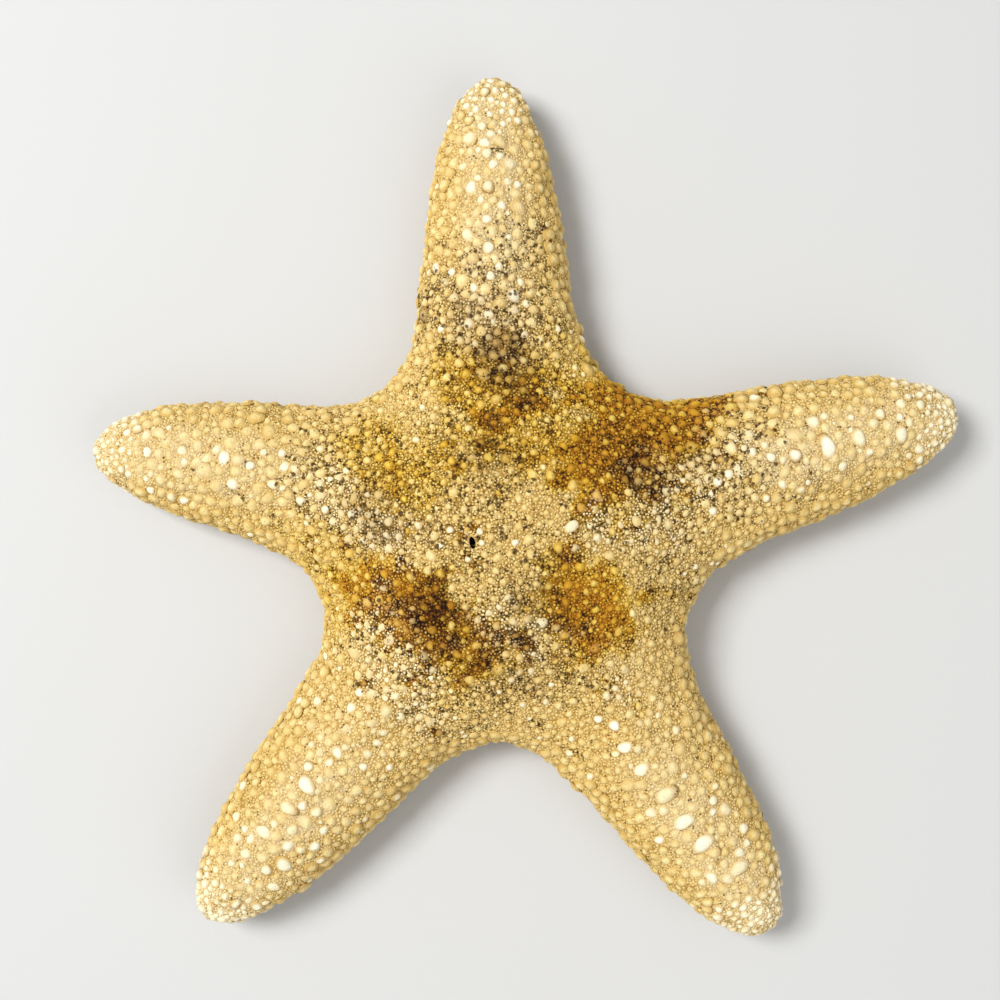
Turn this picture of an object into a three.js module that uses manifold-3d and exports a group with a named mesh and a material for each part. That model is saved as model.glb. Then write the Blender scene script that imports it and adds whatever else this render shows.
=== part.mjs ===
// Dried five-armed starfish lying on its flat underside. Millimetres, +Z up.
//
// The animal dried as one piece, so it is one solid. Its outline is the soft union of five blunt,
// slightly bent arms. Over that outline a domed back rises and a flatter underside hangs, and they
// meet in a rounded margin. Five grooves run from the mouth to the arm tips underneath, and a small
// oval pore opens near the middle of the back.
//
// The surface is laid out in ribs. Each rib starts on the midline of an arm and runs out to the
// margin: between two arms it points into the web, along an arm it lies square across, and at the
// tip it swings forward. Over the back and under the belly it carries one closed profile.
import * as THREE from "three";
import { mergeVertices } from "three/addons/utils/BufferGeometryUtils.js";
import Module from "manifold-3d";

// Arms in turn round the disc: heading, reach from the disc centre, sideways bow, relative girth
const arms = [
  { heading: 92.2, reach: 107.4, bow: 0.8, girth: 1.01 },
  { heading: 166.8, reach: 98.6, bow: -3.6, girth: 0.95 },
  { heading: 230.9, reach: 110.7, bow: 1.0, girth: 1.0 },
  { heading: 304.1, reach: 107.2, bow: -0.5, girth: 1.01 },
  { heading: 376.7, reach: 107.9, bow: 1.2, girth: 1.02 },
];
const limb = {
  halfWidth: 21, // at the disc centre, before the web widens it
  taper: 0.29, // share of the width lost by the tip
  bluntness: 5.5, // a higher power makes a squarer tip
  root: 0.16, // how far an arm reaches back past the centre, as a share of its length
  webbing: 0.776, // a lower number fills the angle between two arms further
};
const section = {
  equator: 7.5, // height of the widest line above the ground
  tipLift: 2, // how much higher the tip's equator lies
  dome: 14.5, // rise of the back over the equator
  domeTaper: 0.22, // share of that rise lost by the tip
  keel: 8.2, // drop of the belly below the equator
  keelPower: 0.25, // a low power keeps the belly flat up to its edge
  discDip: 2.2, // the shallow hollow in the middle of the disc
  dipRadius: 15,
  crest: 1.1, // low ridge along each arm
  crestHalfWidth: 5,
};
const groove = { halfWidth: 2.7, depth: 3.4, narrowing: 0.55, end: 0.95 };
const mouth = { radius: 5.5, depth: 5 };
const pore = { x: -7.9, y: 1.0, length: 2.8, width: 1.4, depth: 6, lean: 12 };

// Layout of the ribs and of the points along one profile
const ribCount = 16;
const midlineEnd = 0.93; // the last rib starts this far along the arm
const midlineEase = 1.6; // above 1 the ribs start closer together towards the tip
const squareAt = 0.65; // from this far along the arm the ribs lie square across it
const swingFrom = 0.7; // from here on they swing towards the tip
const backBands = 8;
const bellyBands = 5;
const grooveSteps = [0.6, 0.3, 0]; // shares of the groove's half width, lip to floor
const lipLimit = 0.35; // the groove never takes more than this share of a rib

const radians = THREE.MathUtils.degToRad;
const clamp = THREE.MathUtils.clamp;
const unit = (degrees) => new THREE.Vector2(Math.cos(radians(degrees)), Math.sin(radians(degrees)));

// Where a plan point lies in one arm's own terms: share of the reach along it, and mm to its left
function inArm(arm, x, y) {
  const ahead = unit(arm.heading);
  const along = (x * ahead.x + y * ahead.y) / arm.reach;
  const t = clamp(along, 0, 1);
  const across = y * ahead.x - x * ahead.y - arm.bow * 4 * t * (1 - t);
  return { along, across };
}

// Negative inside the arm, zero on its outline, -1 on its midline
function armField(arm, x, y) {
  const { along, across } = inArm(arm, x, y);
  const halfWidth = limb.halfWidth * arm.girth * (1 - limb.taper * clamp(along, 0, 1.1));
  const forward = Math.max(along, 0) ** limb.bluntness;
  const backward = (Math.min(along, 0) / limb.root) ** 2;
  return (across / halfWidth) ** 2 + forward + backward - 1;
}

// The five arms joined softly: minus the logarithm of their summed exponentials
function bodyField(x, y) {
  const sum = arms.reduce((total, arm) => total + Math.exp(-limb.webbing * armField(arm, x, y)), 0);
  return -Math.log(sum) / limb.webbing;
}

const meanReach = arms.reduce((total, arm) => total + arm.reach, 0) / arms.length;
const outward = (x, y) => Math.hypot(x, y) / meanReach;
const equatorAt = (x, y) => section.equator + section.tipLift * outward(x, y) ** 4;
const fullness = (x, y) => Math.max(-bodyField(x, y), 0);

// The ridge along the nearest arm's midline, fading out on the disc and at the tip
function crestAt(x, y) {
  return arms.reduce((highest, arm) => {
    const { along, across } = inArm(arm, x, y);
    const fade = Math.sin(Math.PI * clamp(along, 0, 1)) ** 2;
    return Math.max(highest, fade * Math.exp(-((across / section.crestHalfWidth) ** 2)));
  }, 0);
}

// Back: the equator plus a dome on the square root of the fullness, with the dip and the crests
function backHeight(x, y) {
  const full = fullness(x, y);
  const dome = section.dome * (1 - section.domeTaper * outward(x, y)) * Math.sqrt(full);
  const dip = section.discDip * Math.exp(-((Math.hypot(x, y) / section.dipRadius) ** 2));
  return equatorAt(x, y) + dome - dip + section.crest * crestAt(x, y) * Math.min(full, 1);
}

// Grooves and mouth, as heights above the ground
function bellyRelief(x, y) {
  const bowl = mouth.depth * (1 - (Math.hypot(x, y) / mouth.radius) ** 2);
  return arms.reduce((highest, arm) => {
    const { along, across } = inArm(arm, x, y);
    if (along < 0 || along > groove.end) return highest;
    const shrink = 1 - groove.narrowing * along;
    const depth = groove.depth * shrink * Math.sqrt(1 - along / groove.end);
    return Math.max(highest, depth * (1 - (across / (groove.halfWidth * shrink)) ** 2));
  }, Math.max(bowl, 0));
}

// Belly: the equator minus a keel, cut flat by the ground and hollowed by the grooves
function bellyHeight(x, y) {
  const keel = section.keel * fullness(x, y) ** section.keelPower;
  return Math.max(equatorAt(x, y) - keel, bellyRelief(x, y));
}

// Directions into the webs, one after each arm, shared by the two arms beside it
const webDirections = arms.map((arm, i) => {
  const next = arms[(i + 1) % arms.length].heading + (i + 1 === arms.length ? 360 : 0);
  return unit((arm.heading + next) / 2);
});

function midlinePoint(arm, along) {
  const ahead = unit(arm.heading);
  const bow = arm.bow * 4 * along * (1 - along);
  return new THREE.Vector2(
    ahead.x * arm.reach * along - ahead.y * bow,
    ahead.y * arm.reach * along + ahead.x * bow,
  );
}

// Rib number k of one side of an arm: side 1 is its left, -1 its right
function ribAt(index, side, k) {
  const arm = arms[index];
  const u = k / ribCount;
  const along = midlineEnd * (1 - (1 - u) ** midlineEase);
  const start = midlinePoint(arm, along);
  const ahead = unit(arm.heading);
  const square = new THREE.Vector2(-ahead.y * side, ahead.x * side);
  const web = webDirections[side > 0 ? index : (index + arms.length - 1) % arms.length];
  const lean = (web.dot(ahead) / web.dot(square)) * Math.max(1 - along / squareAt, 0);
  const swing = (Math.PI / 2) * clamp((u - swingFrom) / (1 - swingFrom), 0, 1);
  if (k === 0) return { start, direction: web };
  if (k === ribCount) return { start, direction: ahead };
  const direction = square.clone().addScaledVector(ahead, lean).normalize();
  direction.multiplyScalar(Math.cos(swing)).addScaledVector(ahead, Math.sin(swing)).normalize();
  return { start, direction };
}

// Distance along a rib to the margin, by halving the interval in which the field changes sign
function distanceToMargin({ start, direction }) {
  let inside = 0;
  let outside = 1.2 * limb.halfWidth;
  while (bodyField(start.x + direction.x * outside, start.y + direction.y * outside) < 0) outside *= 1.2;
  for (let halving = 0; halving < 40; halving += 1) {
    const middle = (inside + outside) / 2;
    const field = bodyField(start.x + direction.x * middle, start.y + direction.y * middle);
    if (field < 0) inside = middle;
    else outside = middle;
  }
  return (inside + outside) / 2;
}

// One rib's profile: over the back from midline to margin, then under the belly and into the groove
function profileOf(index, side, k) {
  const rib = ribAt(index, side, k);
  const margin = distanceToMargin(rib);
  const at = (distance, height) => {
    const x = rib.start.x + rib.direction.x * distance;
    const y = rib.start.y + rib.direction.y * distance;
    return new THREE.Vector3(x, y, height(x, y));
  };
  const ahead = unit(arms[index].heading);
  const skew = Math.max(Math.abs(ahead.cross(rib.direction)), 0.01);
  const along = inArm(arms[index], rib.start.x, rib.start.y).along;
  const halfWidth = groove.halfWidth * (1 - groove.narrowing * along);
  const lip = Math.min(halfWidth / skew, lipLimit * margin);
  const points = [];
  for (let band = 0; band < backBands; band += 1) {
    points.push(at(margin * Math.sin(((Math.PI / 2) * band) / backBands), backHeight));
  }
  points.push(at(margin, equatorAt));
  for (let band = 1; band <= bellyBands; band += 1) {
    const share = Math.cos(((Math.PI / 2) * band) / bellyBands);
    points.push(at(lip + (margin - lip) * share, bellyHeight));
  }
  grooveSteps.forEach((step) => points.push(at(lip * step, bellyHeight)));
  return points;
}

// Stitches neighbouring profiles of all ten half arms into one closed surface
function bodyGeometry() {
  const corners = [];
  arms.forEach((arm, index) => {
    for (const side of [1, -1]) {
      let previous = profileOf(index, side, 0);
      for (let k = 1; k <= ribCount; k += 1) {
        const current = profileOf(index, side, k);
        for (let j = 0; j + 1 < current.length; j += 1) {
          const [a, b, c, d] = [previous[j], previous[j + 1], current[j + 1], current[j]];
          corners.push(...(side > 0 ? [a, c, b, a, d, c] : [a, b, c, a, c, d]));
        }
        previous = current;
      }
    }
  });
  return mergeVertices(new THREE.BufferGeometry().setFromPoints(corners), 1e-4);
}

// A tapered oval plug that stands in the back where the pore is
function porePlug() {
  const clearOfBack = 3;
  const height = pore.depth + clearOfBack;
  const plug = new THREE.CylinderGeometry(0.5, 0.25, height, 12);
  plug.deleteAttribute("normal");
  plug.deleteAttribute("uv");
  plug.rotateX(Math.PI / 2);
  plug.scale(pore.width, pore.length, 1);
  plug.rotateZ(radians(-pore.lean));
  plug.translate(pore.x, pore.y, backHeight(pore.x, pore.y) - pore.depth + height / 2);
  return mergeVertices(plug, 1e-4);
}

const wasm = await Module();
wasm.setup();

function toSolid(geometry) {
  return new wasm.Manifold(
    new wasm.Mesh({
      numProp: 3,
      vertProperties: geometry.getAttribute("position").array,
      triVerts: new Uint32Array(geometry.index.array),
    }),
  );
}

function toGeometry(solid) {
  const { vertProperties, triVerts } = solid.getMesh();
  const geometry = new THREE.BufferGeometry();
  geometry.setAttribute("position", new THREE.BufferAttribute(vertProperties, 3));
  geometry.setIndex(new THREE.BufferAttribute(triVerts, 1));
  geometry.computeVertexNormals();
  return geometry;
}

const driedSkin = new THREE.MeshStandardMaterial({ color: 0xcdae6d, roughness: 0.85, metalness: 0 });
const starfish = new THREE.Mesh(toGeometry(toSolid(bodyGeometry()).subtract(toSolid(porePlug()))), driedSkin);
starfish.name = "starfish";

// The part's origin is on the ground under the middle of its bounding box
starfish.geometry.computeBoundingBox();
const middle = starfish.geometry.boundingBox.getCenter(new THREE.Vector3());
starfish.position.set(-middle.x, -middle.y, 0);

const part = new THREE.Group();
part.add(starfish);
export default part;
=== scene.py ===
import math

import bpy
import numpy as np
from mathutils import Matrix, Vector
from mathutils.kdtree import KDTree


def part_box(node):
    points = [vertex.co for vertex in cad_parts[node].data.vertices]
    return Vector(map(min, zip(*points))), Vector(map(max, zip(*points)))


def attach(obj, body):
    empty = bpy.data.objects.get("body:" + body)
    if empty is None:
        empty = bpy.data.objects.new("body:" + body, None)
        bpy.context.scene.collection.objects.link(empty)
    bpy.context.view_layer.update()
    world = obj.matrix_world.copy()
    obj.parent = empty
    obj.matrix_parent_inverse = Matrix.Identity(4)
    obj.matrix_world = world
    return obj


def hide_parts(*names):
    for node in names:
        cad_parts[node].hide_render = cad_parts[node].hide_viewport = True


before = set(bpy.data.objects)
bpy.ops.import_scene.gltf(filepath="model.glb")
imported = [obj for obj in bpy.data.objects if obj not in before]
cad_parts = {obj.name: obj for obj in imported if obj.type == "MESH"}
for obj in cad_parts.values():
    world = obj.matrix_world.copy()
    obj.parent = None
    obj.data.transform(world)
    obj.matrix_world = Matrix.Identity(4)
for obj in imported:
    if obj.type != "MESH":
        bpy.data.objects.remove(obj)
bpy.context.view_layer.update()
bodyLow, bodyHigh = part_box("starfish")
mm = 0.001
rng = np.random.default_rng(17)
print("frame loaded")

# The star's plan, in mm from the disc centre, as the solid has it
arms = {
    "heading": np.radians([92.2, 166.8, 230.9, 304.1, 376.7]),
    "reach": np.array([107.4, 98.6, 110.7, 107.2, 107.9]),
    "bow": np.array([0.8, -3.6, 1.0, -0.5, 1.2]),
    "girth": np.array([1.01, 0.95, 1.0, 1.01, 1.02]),
    "tipPale": np.array([0.2, 0.5, 0.8, 0.9, 0.7]),  # how far each tip is bleached
}
limb = {"halfWidth": 21, "taper": 0.29, "bluntness": 5.5, "root": 0.16, "webbing": 0.776}
section = {
    "equator": 7.5, "tipLift": 2, "dome": 14.5, "domeTaper": 0.22, "keel": 8.2, "keelPower": 0.25,
    "discDip": 2.2, "dipRadius": 15, "crest": 1.1, "crestHalfWidth": 5,
    "bellyLift": 0.85,  # room under the belly for its granules
}
groove = {"halfWidth": 2.7, "depth": 3.4, "narrowing": 0.55, "end": 0.95}
mouth = {"radius": 5.5, "depth": 5}
ahead = np.stack([np.cos(arms["heading"]), np.sin(arms["heading"])], 1)
leftward = np.stack([-ahead[:, 1], ahead[:, 0]], 1)
armCount = len(ahead)


# Share of the reach along each arm, and mm to the left of its bowed midline
def inArms(x, y):
    x, y = np.asarray(x)[None], np.asarray(y)[None]
    column = (slice(None),) + (None,) * (x.ndim - 1)
    ax, ay = ahead[:, 0][column], ahead[:, 1][column]
    along = (x * ax + y * ay) / arms["reach"][column]
    t = np.clip(along, 0, 1)
    across = y * ax - x * ay - arms["bow"][column] * 4 * t * (1 - t)
    return along, across


# Plan points at a share of an arm's reach and mm to the left of its midline, which bows by 4t(1 − t)
def armPlan(arm, share, left=0.0):
    off = left + arms["bow"][arm] * 4 * share * (1 - share)
    return ahead[arm] * (arms["reach"][arm] * share)[:, None] + leftward[arm] * off[:, None]


# A soft least of the arm fields, each (across / half width)² + along^bluntness − 1: under 0 inside
def bodyField(x, y):
    along, across = inArms(x, y)
    girth = arms["girth"].reshape((-1,) + (1,) * (along.ndim - 1))
    halfWidth = limb["halfWidth"] * girth * (1 - limb["taper"] * np.clip(along, 0, 1.1))
    field = (across / halfWidth) ** 2 + np.maximum(along, 0) ** limb["bluntness"]
    field += (np.minimum(along, 0) / limb["root"]) ** 2 - 1
    return -np.log(np.exp(-limb["webbing"] * field).sum(0)) / limb["webbing"]


# Distance from the disc centre over the mean reach
def outward(x, y):
    return np.hypot(x, y) / arms["reach"].mean()


# Height of the margin: the equator plus the tip lift times the fourth power of the distance outward
def equatorAt(x, y):
    return section["equator"] + section["tipLift"] * outward(x, y) ** 4


# Equator plus a dome on the square root of the fullness, less a dip, plus a ridge along each arm
def backHeight(x, y):
    full = np.maximum(-bodyField(x, y), 0)
    dome = section["dome"] * (1 - section["domeTaper"] * outward(x, y)) * np.sqrt(full)
    dip = section["discDip"] * np.exp(-((np.hypot(x, y) / section["dipRadius"]) ** 2))
    along, across = inArms(x, y)
    ridge = np.sin(np.pi * np.clip(along, 0, 1)) ** 2 * np.exp(-((across / section["crestHalfWidth"]) ** 2))
    return equatorAt(x, y) + dome - dip + section["crest"] * ridge.max(0) * np.minimum(full, 1)


# Equator minus a keel, cut flat above the ground and hollowed by the grooves and the mouth
def bellyHeight(x, y):
    full = np.maximum(-bodyField(x, y), 0)
    along, across = inArms(x, y)
    shrink = 1 - groove["narrowing"] * along
    depth = groove["depth"] * shrink * np.sqrt(np.clip(1 - along / groove["end"], 0, 1))
    relief = depth * (1 - (across / (groove["halfWidth"] * shrink)) ** 2)
    relief = np.where((along < 0) | (along > groove["end"]), 0, relief).max(0)
    relief = np.maximum(relief, mouth["depth"] * (1 - (np.hypot(x, y) / mouth["radius"]) ** 2))
    keel = section["keel"] * full ** section["keelPower"]
    lift = section["bellyLift"] * np.minimum(full / 0.3, 1)
    return np.maximum(equatorAt(x, y) - keel, np.maximum(relief, 0)) + lift


# Distance from start along direction to the outline, by halving the interval
def marginDistance(start, direction):
    inside, outside = np.zeros(len(start)), np.full(len(start), 1.2 * limb["halfWidth"])
    for _ in range(6):
        point = start + direction * outside[:, None]
        outside = np.where(bodyField(point[:, 0], point[:, 1]) < 0, outside * 1.2, outside)
    for _ in range(40):
        middle = (inside + outside) / 2
        point = start + direction * middle[:, None]
        within = bodyField(point[:, 0], point[:, 1]) < 0
        inside, outside = np.where(within, middle, inside), np.where(within, outside, middle)
    return (inside + outside) / 2


# Every row over its own length
def unitRows(a):
    return a / np.linalg.norm(a, axis=-1, keepdims=True)


# Smoothstep, a²(3 − 2a) on a clipped to 0..1
def smooth(a):
    a = np.clip(a, 0, 1)
    return a * a * (3 - 2 * a)


# A soft random field between about -1 and 1: a sum of plane waves of one length
class Ripples:
    def __init__(self, wavelength, waves=24):
        self.k = unitRows(rng.normal(size=(waves, 3))) * (2 * np.pi / wavelength)
        self.k *= rng.uniform(0.75, 1.3, (waves, 1))
        self.phase = rng.uniform(0, 2 * np.pi, waves)

    def __call__(self, p):
        return np.sin(p @ self.k.T + self.phase).sum(1) * np.sqrt(2 / len(self.k)) * 0.6


# Mesh from vertices in mm and blocks of faces, each block one array with a fixed corner count
def makeMesh(name, verts, blocks, layers):
    mesh = bpy.data.meshes.new(name)
    mesh.vertices.add(len(verts))
    mesh.vertices.foreach_set("co", (verts * mm).astype(np.float32).ravel())
    corners = np.concatenate([b.ravel() for b in blocks]).astype(np.int32)
    sizes = np.concatenate([np.full(len(b), b.shape[1]) for b in blocks])
    mesh.loops.add(len(corners))
    mesh.loops.foreach_set("vertex_index", corners)
    mesh.polygons.add(len(sizes))
    mesh.polygons.foreach_set("loop_start", np.concatenate([[0], np.cumsum(sizes)[:-1]]).astype(np.int32))
    mesh.polygons.foreach_set("use_smooth", np.ones(len(sizes), bool))
    mesh.update(calc_edges=True)
    for layer, values in layers.items():
        mesh.attributes.new(layer, "FLOAT", "POINT").data.foreach_set("value", values.astype(np.float32))
    mesh.validate()
    piece = bpy.data.objects.new(name, mesh)
    bpy.context.scene.collection.objects.link(piece)
    return piece


# Skin: ribs run from the arm midlines to the margin and carry one profile over the back and belly
skin = {
    "ribs": 112, "backBands": 46, "bellyBands": 18, "grooveBands": 8,
    "midlineEnd": 0.93, "midlineEase": 1.6, "squareAt": 0.65, "swingFrom": 0.7, "lipLimit": 0.35,
    "sunk": 0.25, "marginSunk": 0.65, "marginBands": 13,  # mm below the solid, which granules make up
    "roll": (0.3, 11), "dimple": (0.14, 4), "bellyDimple": (0.1, 4),  # mm of swell, and its wavelength
}
pore = {
    "x": -7.9, "y": 1.0, "length": 2.6, "width": 1.3, "lean": 12, "depth": 4.5, "clear": 1.25,
    "segments": 28,
    "profile": [  # reach and height, from the lip's flange over its rim and down the wall
        (2.3, -0.55), (1.6, -0.1), (1.25, 0.1), (1.05, 0.08),
        (0.92, -0.25), (0.8, -1.2), (0.65, -2.6), (0.4, -3.6),
    ],
    "rings": [(1.35, 11), (1.85, 16), (2.4, 19)], "grain": (0.26, 0.4),  # reach and count, then radii
}


# Start and direction of every rib, once round the star: out along an arm's right side, back on its left
def layRibs():
    count = skin["ribs"]
    headings = arms["heading"]
    after = np.append(headings[1:], headings[0] + 2 * np.pi)
    webs = np.stack([np.cos((headings + after) / 2), np.sin((headings + after) / 2)], 1)
    right, left = np.arange(count + 1), np.arange(count - 1, 0, -1)
    arm = np.repeat(np.arange(armCount), 2 * count)
    step = np.tile(np.concatenate([right, left]), armCount)
    side = np.tile(np.concatenate([-np.ones(len(right)), np.ones(len(left))]), armCount)
    u = step / count
    along = skin["midlineEnd"] * (1 - (1 - u) ** skin["midlineEase"])
    front, start = ahead[arm], armPlan(arm, along)
    web = np.where(side[:, None] > 0, webs[arm], webs[arm - 1])
    square = leftward[arm] * side[:, None]
    lean = (web * front).sum(1) / (web * square).sum(1) * np.maximum(1 - along / skin["squareAt"], 0)
    swing = np.pi / 2 * np.clip((u - skin["swingFrom"]) / (1 - skin["swingFrom"]), 0, 1)[:, None]
    direction = unitRows(square + front * lean[:, None])
    direction = unitRows(direction * np.cos(swing) + front * np.sin(swing))
    return {"arm": arm, "step": step, "along": along, "start": start, "direction": direction}


# Distances along every rib: a sine over the back, a cosine under the belly, then even down the groove
def layStations(ribs):
    margin = marginDistance(ribs["start"], ribs["direction"])
    front = ahead[ribs["arm"]]
    skew = np.abs(front[:, 0] * ribs["direction"][:, 1] - front[:, 1] * ribs["direction"][:, 0])
    halfWidth = groove["halfWidth"] * (1 - groove["narrowing"] * ribs["along"])
    lip = np.minimum(halfWidth / np.maximum(skew, 0.01), skin["lipLimit"] * margin)
    back = np.sin(np.pi / 2 * np.arange(skin["backBands"] + 1) / skin["backBands"])
    belly = np.cos(np.pi / 2 * np.arange(1, skin["bellyBands"] + 1) / skin["bellyBands"])
    floor = np.linspace(1, 0, skin["grooveBands"] + 1)[1:]
    margin, lip = margin[:, None], lip[:, None]
    return np.concatenate([margin * back, lip + (margin - lip) * belly, lip * floor], 1)


# Whole skin as one closed grid; midline points are shared by the two sides of their arm
def layGrid():
    ribs = layRibs()
    distance = layStations(ribs)
    columns, rows = distance.shape
    plan = ribs["start"][:, None] + ribs["direction"][:, None] * distance[:, :, None]
    x, y = plan[:, :, 0], plan[:, :, 1]
    z = np.empty_like(x)
    last = skin["backBands"]
    z[:, :last] = backHeight(x[:, :last], y[:, :last])
    z[:, last] = equatorAt(x[:, last], y[:, last])
    z[:, last + 1:] = bellyHeight(x[:, last + 1:], y[:, last + 1:])
    inner = rows - 2
    ids = np.empty((columns, rows), int)
    ids[:, 1:-1] = np.arange(columns * inner).reshape(columns, inner)
    shared = np.where(ribs["step"] == 0, 0, 1 + ribs["arm"] * skin["ribs"] + ribs["step"] - 1)
    sharedCount = 1 + armCount * skin["ribs"]
    ids[:, 0] = columns * inner + shared
    ids[:, -1] = columns * inner + sharedCount + shared
    verts = np.empty((columns * inner + 2 * sharedCount, 3))
    verts[ids.ravel()] = np.stack([x, y, z], 2).reshape(-1, 3)
    row = np.empty(len(verts))
    row[ids.ravel()] = np.tile(np.arange(rows), columns)
    turn = np.roll(ids, -1, 0)
    quads = np.stack([ids[:, :-1], ids[:, 1:], turn[:, 1:], turn[:, :-1]], 2).reshape(-1, 4)
    return verts, quads, row, ids


# Vertex normals: the area-weighted mean of the faces around each vertex
def vertexNormals(verts, quads):
    a, b, c, d = (verts[quads[:, i]] for i in range(4))
    face = np.cross(c - a, d - b)
    total = np.stack([np.bincount(quads.ravel(), np.repeat(face[:, i], 4), len(verts)) for i in range(3)], 1)
    return unitRows(total)


# How far out of the pore a plan point lies: 0 at its middle, 1 on its lip
def poreReach(x, y):
    lean = math.radians(pore["lean"])
    dx, dy = x - pore["x"], y - pore["y"]
    across = dx * math.cos(lean) + dy * math.sin(lean)
    along = dy * math.cos(lean) - dx * math.sin(lean)
    return np.hypot(across / (pore["width"] / 2), along / (pore["length"] / 2))


# Plan points round the pore: an ellipse of that reach, turned by the lean
def porePlan(reach, angle):
    lean = math.radians(pore["lean"])
    across = reach * pore["width"] / 2 * np.cos(angle)
    along = reach * pore["length"] / 2 * np.sin(angle)
    x = pore["x"] + across * math.cos(lean) - along * math.sin(lean)
    y = pore["y"] + across * math.sin(lean) + along * math.cos(lean)
    return x, y


# Seats for grains in rings over the pore's lip, each ring at one reach
def poreSeats():
    place = []
    for ring, count in pore["rings"]:
        angle = (np.arange(count) + rng.random()) * 2 * np.pi / count
        x, y = porePlan(ring, angle)
        place.append(np.stack([x, y, backHeight(x, y) - skin["sunk"]], 1))
    place = np.concatenate(place)
    return place, np.tile([0.0, 0.0, 1.0], (len(place), 1)), rng.uniform(*pore["grain"], len(place))


skinVerts, skinQuads, skinRow, skinIds = layGrid()
if vertexNormals(skinVerts, skinQuads)[skinRow == 0, 2].mean() < 0:
    skinQuads = skinQuads[:, ::-1]
skinNormals = vertexNormals(skinVerts, skinQuads)
boxMiddle = (skinVerts.max(0) + skinVerts.min(0)) / 2
cadMiddle = np.array((bodyLow + bodyHigh) / 2) / mm
toFrame = np.array([cadMiddle[0] - boxMiddle[0], cadMiddle[1] - boxMiddle[1], 0])
nearMargin = smooth(1 - np.abs(skinRow - skin["backBands"]) / skin["marginBands"])
roll, dimple, bellyDimple = (
    size * Ripples(wavelength)(skinVerts)
    for size, wavelength in (skin["roll"], skin["dimple"], skin["bellyDimple"])
)
swell = np.where(skinRow <= skin["backBands"], roll + dimple - skin["sunk"], bellyDimple)
swell -= (skin["marginSunk"] - skin["sunk"]) * nearMargin
skinVerts = skinVerts + skinNormals * swell[:, None]
skinNormals = vertexNormals(skinVerts, skinQuads)


# Random seats on the skin, even by area, between two rows of its grid: places and normals
def seatsOn(count, rows):
    rowOf = skinRow[skinQuads].mean(1)
    wanted = np.flatnonzero((rowOf >= rows[0]) & (rowOf <= rows[1]))
    quads = skinQuads[wanted]
    a, b, c, d = (skinVerts[quads[:, i]] for i in range(4))
    area = np.linalg.norm(np.cross(c - a, d - b), axis=1)
    pick = quads[rng.choice(len(quads), count, p=area / area.sum())]
    s, t = rng.random((2, count, 1))
    weights = [(1 - s) * (1 - t), s * (1 - t), s * t, (1 - s) * t]
    place = sum(w * skinVerts[pick[:, i]] for i, w in enumerate(weights))
    normal = unitRows(sum(w * skinNormals[pick[:, i]] for i, w in enumerate(weights)))
    return place, normal


# Seats in a row round the whole outline, a given distance up the back from the margin, at one pitch
def seatsInRow(up, pitch, phase):
    line = skinVerts[skinIds]
    run = np.linalg.norm(np.diff(line, axis=1), axis=2).cumsum(1)
    run = np.concatenate([np.zeros((len(run), 1)), run], 1)
    run = run[:, [skin["backBands"]]] - run
    ids = skinIds[np.arange(len(run)), np.abs(run - up).argmin(1)]
    loop = np.append(ids, ids[0])
    reach = np.append(0, np.linalg.norm(np.diff(skinVerts[loop], axis=0), axis=1).cumsum())
    steps = int(reach[-1] / pitch)
    at = (np.arange(steps) + phase) * reach[-1] / steps + rng.normal(0, pitch * 0.07, steps)
    place = np.stack([np.interp(at, reach, skinVerts[loop, i]) for i in range(3)], 1)
    normal = np.stack([np.interp(at, reach, skinNormals[loop, i]) for i in range(3)], 1)
    return place, unitRows(normal)


# Seats by share of an arm's reach and mm to the left of its midline, on the back
def seatsOnArm(arm, share, left):
    x, y = armPlan(arm, share, left).T
    z, step = backHeight(x, y), 0.2
    slope = np.stack([backHeight(x + step, y) - z, backHeight(x, y + step) - z], 1) / step
    normal = unitRows(np.concatenate([-slope, np.ones((len(x), 1))], 1))
    return np.stack([x, y, z], 1) - normal * skin["sunk"], normal


# The seats whose circles stay clear of the taken ones and of each other, first come first kept
def settle(seats, radius, taken, spacing=1.0):
    place = seats[0]
    tree = KDTree(len(place))
    for i, p in enumerate(place):
        tree.insert(p, i)
    tree.balance()
    free = np.ones(len(place), bool)
    widest = radius.max()

    def clear(p, r):
        for _, j, gap in tree.find_range(p, (r + widest) * spacing):
            if gap < (r + radius[j]) * spacing:
                free[j] = False

    for p, r in taken:
        clear(p, r)
    kept = []
    for i, p in enumerate(place):
        if free[i]:
            kept.append(i)
            clear(p, radius[i])
    return [a[kept] for a in seats]


# Pairs of place and radius, as settle takes them
def circles(place, radius):
    return list(zip(place, radius))


# Several sets of seats as one
def joined(*seats):
    return [np.concatenate([s[i] for s in seats]) for i in range(3)]


# Quads between every two of a number of rings of points, round and closed
def bandQuads(ringCount, segments):
    i = np.arange(segments)
    n = np.roll(i, -1)
    band = np.stack([i, n, n + segments, i + segments], 1)
    return np.concatenate([band + k * segments for k in range(ringCount - 1)])


# Turned template: rings of (radius, height) from the foot up to a point, with a flat closed foot
def turnedCap(rings, segments):
    angle = np.arange(segments) * 2 * np.pi / segments
    ring = [np.stack([r * np.cos(angle), r * np.sin(angle), np.full(segments, h)], 1) for r, h in rings[:-1]]
    verts = np.concatenate(ring + [[[0, 0, rings[-1][1]]]])
    i, top = np.arange(segments), (len(rings) - 2) * segments
    peak = np.stack([i + top, np.roll(i, -1) + top, np.full(segments, len(verts) - 1)], 1)
    return verts, [bandQuads(len(rings) - 1, segments), peak, i[::-1][None]]


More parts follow.
